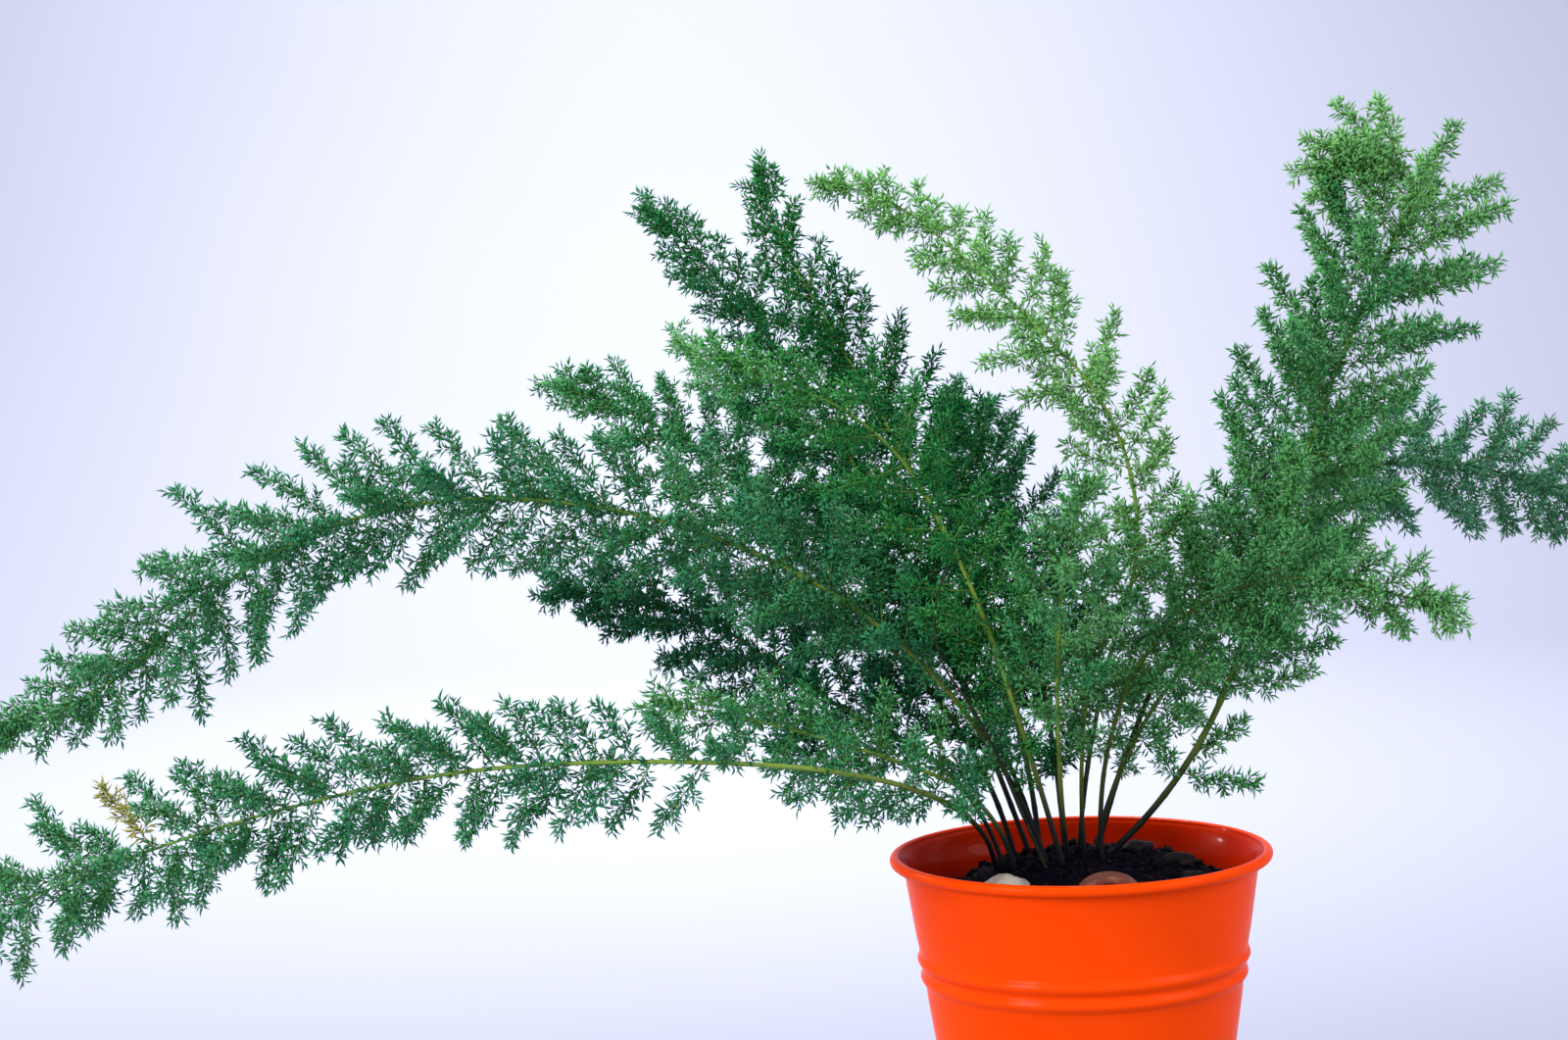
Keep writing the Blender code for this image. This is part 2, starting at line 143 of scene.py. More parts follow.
# The run of stem over which a plume narrows to its tip, its share of width at the tip, and
# how many degrees further forward its sprays lean there
TIP_RUN = 90 * MM
TIP_WIDTH = 0.26
TIP_LEAN = 28
OTHER_TIPS = {
    "right_tall": (70 * MM, 0.38),
    "left_lower": (40 * MM, 0.50),
    "up_left_outer": (115 * MM, 0.18),
    "up_left_inner": (120 * MM, 0.16),
    "arching": (110 * MM, 0.10),
}

# How much lighter the needles grow from a share of the stem to its tip
LIGHTER_FROM = 0.72
TIP_LIGHT = 0.20
OTHER_TIP_LIGHTS = {"right_tall": 0.50}

# The share of the stem from which a plume has all its sprays: this many times its bare share,
# or a share of its own. Lower down some are missing, down to the lowest one's chance to grow.
FULL_FROM = 1.5
OTHER_FULL_FROM = {"left_lower": 0.50, "arching": 0.50, "left_short": 0.28}
LOWEST_CHANCE = 0.24

# Side sprays: least and most size, lean from the stem with its spread, and least and most
# bend, in degrees. A spray's full size reaches the plume's edge at the solid model's lean.
SPRAY_SIZE = (0.80, 1.10)
SPRAY_LEAN = (64, 7)
SPRAY_BEND = (10, 26)
SOLID_LEAN = 52
TURN_SPREAD = 0.25
SPRAY_CORE = (0.34 * MM, 0.16 * MM)
TWIG_WIDTH = 0.5 * MM
TWIG_KEEL = 0.3

# Where along the stem's colours its sprays and their twigs lie
SPRAY_COLOUR = 0.75
TWIG_COLOUR = 0.85

# How thickly needles grow on a spray's core and on the stem, next to 1 on a spray's twigs
CORE_WEIGHT = 0.7
STEM_WEIGHT = 1.4
TIP_WEIGHT = 3.0

# The share of the needles that a plume's outline would hold that grow in it
NEEDLE_SHARE = 0.85
TONE_SPREAD = 0.06

# How far sprays keep from the pot's rim and, nearer its middle, from the soil
RIM_CLEAR = 9 * MM
RIM_ABOVE = 15 * MM
RIM_ZONE = 40 * MM
SOIL_CLEAR = 9 * MM


# Settings

class FernPotSettings(bpy.types.PropertyGroup):
    colour: FloatVectorProperty(
        name="Enamel colour", description="Colour of the pot's enamel", subtype="COLOR",
        size=4, min=0, max=1, default=(0.90, 0.058, 0.0006, 1))
    bead: FloatProperty(
        name="Rim bead", description="Radius of the rolled rim", unit="LENGTH", default=2.2 * MM)
    rib_proud: FloatProperty(
        name="Rib height", description="How far each pressed rib stands out", unit="LENGTH",
        default=1.2 * MM)
    rib_half: FloatProperty(
        name="Rib half width", description="Half of a pressed rib's width", unit="LENGTH",
        default=2.6 * MM)
    wall: FloatProperty(
        name="Wall", description="Thickness of the pot's wall", unit="LENGTH", default=1.0 * MM)
    steps: IntProperty(
        name="Steps", description="Steps round the pot", default=160, min=24)


class FernSoilSettings(bpy.types.PropertyGroup):
    colour: FloatVectorProperty(
        name="Soil colour", description="Colour of the damp soil", subtype="COLOR",
        size=4, min=0, max=1, default=(0.0004, 0.0004, 0.0030, 1))
    crumbs: IntProperty(
        name="Crumbs", description="Loose crumbs on the soil", default=1000, min=0)
    crumb_size: FloatProperty(
        name="Crumb size", description="Radius of a middling crumb", unit="LENGTH",
        default=1.3 * MM)


class FernFrondSettings(bpy.types.PropertyGroup):
    spray_pitch: FloatProperty(
        name="Spray pitch", description="Run of stem from one side spray to the next",
        unit="LENGTH", default=4.2 * MM)
    twig_pitch: FloatProperty(
        name="Twig pitch", description="Run of spray from one twig to the next",
        unit="LENGTH", default=2.1 * MM)
    twig: FloatProperty(
        name="Twig length", description="Length of a spray's own twigs", unit="LENGTH",
        default=5.6 * MM)
    needle: FloatProperty(
        name="Needle length", description="Length of a full-grown needle", unit="LENGTH",
        default=4.7 * MM)
    needle_width: FloatProperty(
        name="Needle width", description="Width of a needle at its broadest", unit="LENGTH",
        default=0.9 * MM)
    tuft_pitch: FloatProperty(
        name="Tuft pitch", description="Run of twig from one tuft of needles to the next",
        unit="LENGTH", default=1.3 * MM)
    seed: IntProperty(
        name="Seed", description="Seed of the plumes' small differences", default=11)
    dark: FloatVectorProperty(
        name="Dark green", description="Green of old needles", subtype="COLOR", size=4,
        min=0, max=1, default=(0.001, 0.105, 0.022, 1))
    middle: FloatVectorProperty(
        name="Middle green", description="Green of most needles", subtype="COLOR", size=4,
        min=0, max=1, default=(0.045, 0.300, 0.068, 1))
    light: FloatVectorProperty(
        name="Light green", description="Green of young needles", subtype="COLOR", size=4,
        min=0, max=1, default=(0.27, 0.62, 0.16, 1))
    # This bluish green is painted shade: the bluish cast of shaded needles, not a waxy bloom.
    blue: FloatVectorProperty(
        name="Bluish green", description="Green of needles with a waxy bloom", subtype="COLOR",
        size=4, min=0, max=1, default=(0.050, 0.230, 0.180, 1))


class FernStageSettings(bpy.types.PropertyGroup):
    floor: FloatVectorProperty(
        name="Floor colour", description="Colour of the floor and the backdrop",
        subtype="COLOR", size=4, min=0, max=1, default=(0.325, 0.338, 0.446, 1))
    lens: FloatProperty(
        name="Lens", description="Focal length of the camera", subtype="DISTANCE_CAMERA",
        default=75.3)
    camera_place: FloatVectorProperty(
        name="Camera place", description="Where the camera stands", subtype="TRANSLATION",
        unit="LENGTH", default=(-0.1113, -1.2723, 0.3874))
    pitch: FloatProperty(
        name="Pitch", description="How far the camera looks down", subtype="ANGLE",
        default=math.radians(4.87))
    roll: FloatProperty(
        name="Roll", description="How far the camera leans", subtype="ANGLE",
        default=math.radians(-2.2))


# Shader helpers

def new_material(name):
    material = bpy.data.materials.new(name)
    material.use_nodes = True
    tree = material.node_tree
    return material, tree, tree.nodes["Principled BSDF"]


def add_node(tree, kind, **values):
    node = tree.nodes.new(kind)
    for key, value in values.items():
        setattr(node, key, value)
    return node


def colour_ramp(tree, stops):
    node = add_node(tree, "ShaderNodeValToRGB")
    elements = node.color_ramp.elements
    while len(elements) < len(stops):
        elements.new(0.5)
    for element, (position, colour) in zip(elements, stops):
        element.position = position
        element.color = colour
    return node


def mottle_group():
    """Soft patches between two colours, with a mask of the same patches."""
    name = "mottle"
    if name in bpy.data.node_groups:
        return bpy.data.node_groups[name]
    group = bpy.data.node_groups.new(name, "ShaderNodeTree")
    face = group.interface
    for socket in ("Base", "Patch"):
        face.new_socket(socket, in_out="INPUT", socket_type="NodeSocketColor")
    for socket in ("Scale", "Detail", "Low", "High"):
        face.new_socket(socket, in_out="INPUT", socket_type="NodeSocketFloat")
    face.new_socket("Colour", in_out="OUTPUT", socket_type="NodeSocketColor")
    face.new_socket("Mask", in_out="OUTPUT", socket_type="NodeSocketFloat")
    inside = add_node(group, "NodeGroupInput")
    outside = add_node(group, "NodeGroupOutput")
    place = add_node(group, "ShaderNodeTexCoord")
    cloud = add_node(group, "ShaderNodeTexNoise")
    mask = add_node(group, "ShaderNodeMapRange", interpolation_type="SMOOTHSTEP")
    mix = add_node(group, "ShaderNodeMix", data_type="RGBA")
    link = group.links.new
    link(place.outputs["Object"], cloud.inputs["Vector"])
    link(inside.outputs["Scale"], cloud.inputs["Scale"])
    link(inside.outputs["Detail"], cloud.inputs["Detail"])
    link(cloud.outputs["Fac"], mask.inputs["Value"])
    link(inside.outputs["Low"], mask.inputs["From Min"])
    link(inside.outputs["High"], mask.inputs["From Max"])
    link(mask.outputs["Result"], mix.inputs["Factor"])
    link(inside.outputs["Base"], mix.inputs["A"])
    link(inside.outputs["Patch"], mix.inputs["B"])
    link(mix.outputs["Result"], outside.inputs["Colour"])
    link(mask.outputs["Result"], outside.inputs["Mask"])
    return group


def add_mottle(tree, base, patch, scale, detail, low, high):
    """A mottle node. Its colours are values, or sockets that come from other nodes."""
    node = add_node(tree, "ShaderNodeGroup", node_tree=mottle_group())
    for socket, value in (("Base", base), ("Patch", patch)):
        if isinstance(value, bpy.types.NodeSocket):
            tree.links.new(value, node.inputs[socket])
        else:
            node.inputs[socket].default_value = value
    for socket, value in (("Scale", scale), ("Detail", detail), ("Low", low), ("High", high)):
        node.inputs[socket].default_value = value
    return node


def add_cloud(tree, scale, detail):
    """Noise that stays with the object."""
    cloud = add_node(tree, "ShaderNodeTexNoise")
    cloud.inputs["Scale"].default_value = scale
    cloud.inputs["Detail"].default_value = detail
    place = add_node(tree, "ShaderNodeTexCoord")
    tree.links.new(place.outputs["Object"], cloud.inputs["Vector"])
    return cloud.outputs["Fac"]


def add_mix(tree, base, other, factor, blend="MIX"):
    """Blends a socket's colour with a plain one, by a mask."""
    mix = add_node(tree, "ShaderNodeMix", data_type="RGBA", blend_type=blend)
    tree.links.new(base, mix.inputs["A"])
    mix.inputs["B"].default_value = other
    tree.links.new(factor, mix.inputs["Factor"])
    return mix.outputs["Result"]


def add_bump(tree, shader, height, distance, strength, before=None):
    bump = add_node(tree, "ShaderNodeBump")
    bump.inputs["Strength"].default_value = strength
    bump.inputs["Distance"].default_value = distance
    tree.links.new(height, bump.inputs["Height"])
    if before:
        tree.links.new(before.outputs["Normal"], bump.inputs["Normal"])
    tree.links.new(bump.outputs["Normal"], shader.inputs["Normal"])
    return bump


def set_surface(tree, shader, colour, roughness, specular):
    tree.links.new(colour, shader.inputs["Base Color"])
    shader.inputs["Roughness"].default_value = roughness
    shader.inputs["Specular IOR Level"].default_value = specular


def scaled(colour, factor):
    return tuple(min(channel * factor, 1) for channel in colour[:3]) + (1,)


# Materials

def painted_shade_inside_mask(tree):
    """1 on the pot's inside, where its surface faces its axis, and 0 outside: the mask of the
    enamel's painted shade.
    """
    spot = add_node(tree, "ShaderNodeTexCoord")
    outward = add_node(tree, "ShaderNodeVectorMath", operation="MULTIPLY")
    outward.inputs[1].default_value = (1, 1, 0)
    tree.links.new(spot.outputs["Object"], outward.inputs[0])
    facing = add_node(tree, "ShaderNodeVectorMath", operation="DOT_PRODUCT")
    tree.links.new(outward.outputs["Vector"], facing.inputs[0])
    tree.links.new(spot.outputs["Normal"], facing.inputs[1])
    inside = add_node(tree, "ShaderNodeMapRange", interpolation_type="SMOOTHSTEP")
    inside.inputs["From Min"].default_value = -0.02
    inside.inputs["From Max"].default_value = -0.06
    tree.links.new(facing.outputs["Value"], inside.inputs["Value"])
    return inside.outputs["Result"]


def enamel_material(colour):
    """Glossy enamel with faint waves, with painted shade that makes it a deeper red inside the pot.
    """
    material, tree, shader = new_material("orange_enamel")
    shade = add_mottle(tree, tuple(colour), scaled(colour, 0.93), 22, 3, 0.35, 0.7)
    # Painted shade: the enamel inside the pot is multiplied darker and redder, standing in for the
    # shade that falls inside it.
    deep = add_mix(tree, shade.outputs["Colour"], (0.48, 0.22, 1, 1), painted_shade_inside_mask(tree), "MULTIPLY")
    set_surface(tree, shader, deep, 0.28, 0.01)
    shader.inputs["Coat Weight"].default_value = 0.07
    shader.inputs["Coat Roughness"].default_value = 0.04
    waves = add_bump(tree, shader, add_cloud(tree, 28, 1), 0.5 * MM, 0.5)
    add_bump(tree, shader, add_cloud(tree, 420, 2), 0.03 * MM, 0.5, waves)
    return material


def soil_material(colour):
    material, tree, shader = new_material("damp_soil")
    broad = add_mottle(tree, tuple(colour), scaled(colour, 2.4), 140, 6, 0.45, 0.7)
    brown = (0.016, 0.006, 0.006, 1)
    specks = add_mottle(tree, broad.outputs["Colour"], brown, 520, 3, 0.56, 0.66)
    set_surface(tree, shader, specks.outputs["Colour"], 0.9, 0.06)
    add_bump(tree, shader, add_cloud(tree, 700, 5), 0.6 * MM, 0.8)
    return material


def mineral_material(name, base, patch, scale, roughness, grain_scale, grain_height):
    """Stone, terracotta, bark or dry wood: two mottled tones and a grained surface."""
    material, tree, shader = new_material(name)
    broad = add_mottle(tree, base, patch, scale, 5, 0.4, 0.62)
    fine = add_mottle(tree, broad.outputs["Colour"], scaled(base, 0.55), scale * 7, 4, 0.55, 0.75)
    set_surface(tree, shader, fine.outputs["Colour"], roughness, 0.2)
    add_bump(tree, shader, add_cloud(tree, grain_scale, 6), grain_height, 0.7)
    return material


def leaf_values(tree):
    """The three values that a plume's points carry: lightness, then two blends."""
    leaf = add_node(tree, "ShaderNodeAttribute", attribute_name="leaf")
    values = add_node(tree, "ShaderNodeSeparateColor")
    tree.links.new(leaf.outputs["Color"], values.inputs["Color"])
    return values.outputs


def needle_material(settings):
    """Green by each needle's lightness, then its frond's painted bluish shade and its spray's
    yellow.
    """
    material, tree, shader = new_material("needles")
    values = leaf_values(tree)
    green = colour_ramp(tree, ((0.0, tuple(settings.dark)), (0.42, tuple(settings.middle)),
                               (1.0, tuple(settings.light))))
    tree.links.new(values["Red"], green.inputs["Fac"])
    # Painted bluish shade: each frond's blue share tints its needles towards the bluish green.
    painted_bluish_shade = add_mix(tree, green.outputs["Color"], tuple(settings.blue), values["Green"])
    straw = add_mix(tree, painted_bluish_shade, (0.50, 0.42, 0.10, 1), values["Blue"])
    patches = add_mottle(tree, (1, 1, 1, 1), (0, 0, 0, 1), 55, 3, 0.38, 0.66)
    shade = add_mix(tree, straw, (0.66, 0.74, 0.62, 1), patches.outputs["Mask"], "MULTIPLY")
    set_surface(tree, shader, shade, 0.6, 0.05)
    return material


def stem_material():
    """Nearly black at the foot, yellow-green above it, then green towards the tip."""
    material, tree, shader = new_material("stems")
    values = leaf_values(tree)
    along = colour_ramp(tree, ((0.0, (0.005, 0.005, 0.012, 1)), (0.07, (0.012, 0.018, 0.012, 1)),
                               (0.17, (0.11, 0.15, 0.025, 1)), (0.32, (0.22, 0.33, 0.05, 1)),
                               (1.0, (0.12, 0.28, 0.05, 1))))
    tree.links.new(values["Red"], along.inputs["Fac"])
    dark = add_mix(tree, along.outputs["Color"], (0.14, 0.18, 0.14, 1), values["Green"], "MULTIPLY")
    specks = add_mottle(tree, dark, (0.03, 0.045, 0.02, 1), 330, 3, 0.62, 0.85)
    set_surface(tree, shader, specks.outputs["Colour"], 0.6, 0.15)
    add_bump(tree, shader, specks.outputs["Mask"], 0.1 * MM, 0.5)
    return material


def stage_material(colour):
    material, tree, shader = new_material("pale_floor")
    tone = add_mottle(tree, tuple(colour), scaled(colour, 0.985), 1.5, 2, 0.3, 0.7)
    set_surface(tree, shader, tone.outputs["Colour"], 0.9, 0.1)
    return material


# Mesh helpers

def object_from_arrays(name, verts, faces, material, leaf=None, smooth=True):
    """A mesh object from an array of points and an array of triangles."""
    mesh = bpy.data.meshes.new(name)
    mesh.vertices.add(len(verts))
    mesh.vertices.foreach_set("co", np.ascontiguousarray(verts, dtype=np.float32).ravel())
    mesh.loops.add(faces.size)
    mesh.loops.foreach_set("vertex_index", np.ascontiguousarray(faces, dtype=np.int32).ravel())
    mesh.polygons.add(len(faces))
    mesh.polygons.foreach_set("loop_start", np.arange(0, faces.size, 3, dtype=np.int32))
    if leaf is not None:
        layer = mesh.color_attributes.new("leaf", "FLOAT_COLOR", "POINT")
        colours = np.ones((len(verts), 4), dtype=np.float32)
        colours[:, :3] = leaf
        layer.data.foreach_set("color", colours.ravel())
    mesh.update(calc_edges=True)
    mesh.materials.append(material)
    if smooth:
        mesh.shade_smooth()
    obj = bpy.data.objects.new(name, mesh)
    bpy.context.scene.collection.objects.link(obj)
    return obj


def object_from_bmesh(name, bm, material):
    mesh = bpy.data.meshes.new(name)
    bm.to_mesh(mesh)
    bm.free()
    mesh.materials.append(material)
    obj = bpy.data.objects.new(name, mesh)
    bpy.context.scene.collection.objects.link(obj)
    return obj


def place_piece(obj, slot, *nodes):
    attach(obj, "root")
    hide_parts(*nodes)


def unit(vectors):
    return vectors / np.maximum(np.linalg.norm(vectors, axis=-1, keepdims=True), 1e-12)


def side_frames(points):
    """Tangents along a route and two sides that turn with it and never spin."""
    tangents = unit(np.gradient(points, axis=0))
    side = np.cross(tangents[0], (0.0, 0.0, 1.0))
    if np.linalg.norm(side) < 0.1:
        side = np.cross(tangents[0], (0.0, 1.0, 0.0))
    sides = []
    for tangent in tangents:
        side = side - tangent * np.dot(side, tangent)
        side = side / np.linalg.norm(side)
        sides.append(side)
    sides = np.array(sides)
    return tangents, sides, np.cross(tangents, sides)


def tube_arrays(points, radii, sides):
    """Points and triangles of a closed tube with rounded ends."""
    tangents, first, second = side_frames(points)
    angles = (np.arange(sides) * 2 * np.pi / sides)[None, :, None]
    ring = np.cos(angles) * first[:, None, :] + np.sin(angles) * second[:, None, :]
    body = points[:, None, :] + ring * np.asarray(radii)[:, None, None]
    count = len(points)
    start = points[0] - tangents[0] * radii[0] * 0.6
    end = points[-1] + tangents[-1] * radii[-1] * 0.9
    verts = np.vstack([body.reshape(-1, 3), start, end])
    low = (np.arange(count - 1)[:, None] * sides + np.arange(sides)[None, :]).ravel()
    step = (np.arange(count - 1)[:, None] * sides + (np.arange(sides) + 1)[None, :] % sides).ravel()
    faces = [np.stack([low, step, step + sides], 1), np.stack([low, step + sides, low + sides], 1)]
    here = np.arange(sides)
    after = (here + 1) % sides
    last = (count - 1) * sides
    faces.append(np.stack([np.full(sides, count * sides), after, here], 1))
    faces.append(np.stack([np.full(sides, count * sides + 1), last + here, last + after], 1))
    return verts, np.vstack(faces)


class Shell:
    """Gathers many closed shapes into one mesh."""

    def __init__(self):
        self.verts, self.faces, self.leaf, self.count = [], [], [], 0

    def add(self, verts, faces, leaf):
        self.verts.append(verts)
        self.faces.append(faces + self.count)
        self.leaf.append(np.broadcast_to(leaf, (len(verts), 3)))
        self.count += len(verts)

    def make(self, name, material, smooth=True):
        return object_from_arrays(name, np.vstack(self.verts), np.vstack(self.faces), material,
                                  np.vstack(self.leaf), smooth)


# Pot

def wall_radius(height):
    return BASE_RADIUS + (WALL_TOP_RADIUS - BASE_RADIUS) * height / WALL_TOP


def arc(centre, radius, degrees):
    """Points of a profile round a centre of radius and height, at the given degrees."""
    angles = [math.radians(angle) for angle in degrees]
    return [(centre[0] + radius * math.cos(angle), centre[1] + radius * math.sin(angle))
            for angle in angles]


def pot_profile(settings):
    """Radius and height: from the floor's centre up the inside, then down the outside."""
    wall, bead = settings.wall, settings.bead
    profile = [(0, wall), (wall_radius(wall) - wall - 2 * BASE_ROUND, wall)]
    corner = (wall_radius(BASE_ROUND) - wall - BASE_ROUND, wall + BASE_ROUND)
    profile += arc(corner, BASE_ROUND, range(-80, 1, 20))
    inner_top = POT_HEIGHT - bead
    for share in (0.3, 0.6, 0.8, 0.92, 1.0):
        profile.append((wall_radius(inner_top * share) - wall, inner_top * share))
    profile += arc((RIM_RADIUS - bead, inner_top), bead, range(165, -140, -15))
    neck = POT_HEIGHT - 2.4 * bead
    profile.append((wall_radius(neck) + 0.25 * MM, neck + 0.5 * MM))
    for height in (neck - 1 * MM, RIB_HEIGHTS[0] + 12 * MM):
        profile.append((wall_radius(height), height))
    profile += rib_profile(settings)
    for height in (RIB_HEIGHTS[1] - 8 * MM, 40 * MM, 2 * BASE_ROUND):
        profile.append((wall_radius(height), height))
    profile += arc((BASE_RADIUS - BASE_ROUND, BASE_ROUND), BASE_ROUND, range(0, -91, -18))
    profile.append((0, 0))
    return profile


def rib_profile(settings, steps=7, dip_depth=0.28 * MM, dip_width=0.25):
    """The two pressed ribs: each swells out between two shallow dips."""
    profile = []
    for height in RIB_HEIGHTS:
        for step in range(-steps, steps + 1):
            reach = -step / steps
            swell = 0.5 + 0.5 * math.cos(math.pi * reach)
            dip = dip_depth * math.exp(-((abs(reach) - 1) / dip_width) ** 2)
            at = height + reach * settings.rib_half * 1.25
            profile.append((wall_radius(at) + settings.rib_proud * swell - dip, at))
    return profile


class FERN_OT_pot(bpy.types.Operator):
    """Turns the enamelled pot with its rolled rim and its pressed ribs"""

    bl_idname = "fern.pot"
    bl_label = "Pot"

    def execute(self, context):
        settings = context.scene.fern_pot
        bm = bmesh.new()
        verts = [bm.verts.new((radius, 0, height)) for radius, height in pot_profile(settings)]
        for first, second in zip(verts, verts[1:]):
            bm.edges.new((first, second))
        pot = object_from_bmesh("enamelled_pot", bm, enamel_material(settings.colour))
        screw = pot.modifiers.new("turn", "SCREW")
        screw.steps = settings.steps
        screw.render_steps = settings.steps
        screw.use_merge_vertices = True
        screw.merge_threshold = 0.01 * MM
        screw.use_smooth_shade = True
        place_piece(pot, "orange_enamel", "pot")
        return {"FINISHED"}


# Soil and what lies on it

def soil_height(x, y):
    share = min(math.hypot(x, y) / wall_radius(SOIL_EDGE), 1) ** 2
    mound = SOIL_EDGE + (SOIL_CROWN - SOIL_EDGE) * (0.5 + 0.5 * math.cos(math.pi * share))
    bump = SOIL_BUMP * noise.noise(Vector((x, y, 0)) / SOIL_BUMP_WIDTH)
    return mound + SOIL_LEAN * x + bump


def rough_height(x, y):
    """The soil's height with its fine clods."""
    clods = noise.turbulence(Vector((x, y, 0)) / CLOD_WIDTH, 4, False) - 0.5
    return soil_height(x, y) + CLOD_HEIGHT * clods


def soil_bmesh(rings=44, steps=150):
    """The clodded top of the soil, closed below by a plain side and bottom."""
    bm = bmesh.new()
    angles = [2 * math.pi * step / steps for step in range(steps)]
    inner = wall_radius(SOIL_EDGE - 3 * MM) - SOIL_INSET
    rows = []
    for ring in range(1, rings + 1):
        radius = inner * ring / rings
        row = [(radius * math.cos(angle), radius * math.sin(angle)) for angle in angles]
        rows.append([bm.verts.new((x, y, rough_height(x, y))) for x, y in row])
    radius = wall_radius(SOIL_BOTTOM) - SOIL_INSET - BASE_ROUND
    rows.append([bm.verts.new((radius * math.cos(angle), radius * math.sin(angle), SOIL_BOTTOM))
                 for angle in angles])
    top = bm.verts.new((0, 0, rough_height(0, 0)))
    bottom = bm.verts.new((0, 0, SOIL_BOTTOM))
    for step in range(steps):
        after = (step + 1) % steps
        bm.faces.new((top, rows[0][step], rows[0][after]))
        bm.faces.new((bottom, rows[-1][after], rows[-1][step]))
        for upper, lower in zip(rows, rows[1:]):
            bm.faces.new((upper[step], lower[step], lower[after], upper[after]))
    return bm


def lump_bmesh(seed, half_sizes, rough, fineness):
    """An uneven rounded body, for a stone, a crumb or a piece of bark."""
    bm = bmesh.new()
    bmesh.ops.create_icosphere(bm, subdivisions=fineness, radius=1)
    offset = Vector((seed * 7.3, seed * 3.1, seed))
    for vertex in bm.verts:
        swell = 1 + rough * noise.noise(vertex.co * 1.3 + offset)
        swell += 0.35 * rough * noise.noise(vertex.co * 4 + offset)
        vertex.co = Vector([vertex.co[axis] * half_sizes[axis] * swell for axis in range(3)])
    return bm


def arrays_of(bm):
    bmesh.ops.triangulate(bm, faces=bm.faces)
    bm.verts.index_update()
    verts = np.array([vertex.co[:] for vertex in bm.verts])
    faces = np.array([[vertex.index for vertex in face.verts] for face in bm.faces])
    bm.free()
    return verts, faces


class FERN_OT_soil(bpy.types.Operator):
    """Fills the pot with clodded soil and strews crumbs on it"""

    bl_idname = "fern.soil"
    bl_label = "Soil"

    def execute(self, context):
        settings = context.scene.fern_soil
        material = soil_material(settings.colour)
        ground = object_from_bmesh("soil_ground", soil_bmesh(), material)
        ground.data.shade_smooth()
        place_piece(ground, "soil", "soil")
        rng = np.random.default_rng(5)
        shapes = []
        for seed in range(12):
            flat = (1, 0.75, 0.35 + 0.1 * (seed % 4))
            fineness = 2 if seed % 3 == 0 else 1
            shapes.append(arrays_of(lump_bmesh(seed, flat, 0.9, fineness)))
        shell = Shell()
        reach = wall_radius(SOIL_EDGE) - 3.5 * MM
        for _ in range(settings.crumbs):
            radius = reach * math.sqrt(rng.random())
            angle = rng.random() * 2 * math.pi
            x, y = radius * math.cos(angle), radius * math.sin(angle)
            size = settings.crumb_size * (0.45 + 1.5 * rng.random() ** 3)
            verts, faces = shapes[rng.integers(len(shapes))]
            turn = rng.random() * 6.28
            axis = Vector(rng.normal(size=3)).normalized()
            spin = np.array(Matrix.Rotation(turn, 3, axis))
            place = np.array((x, y, rough_height(x, y) + size * 0.2))
            shell.add(verts * size @ spin.T + place, faces, (0, 0, 0))
        crumbs = shell.make("soil_crumbs", material)
        place_piece(crumbs, "soil", "soil")
        return {"FINISHED"}


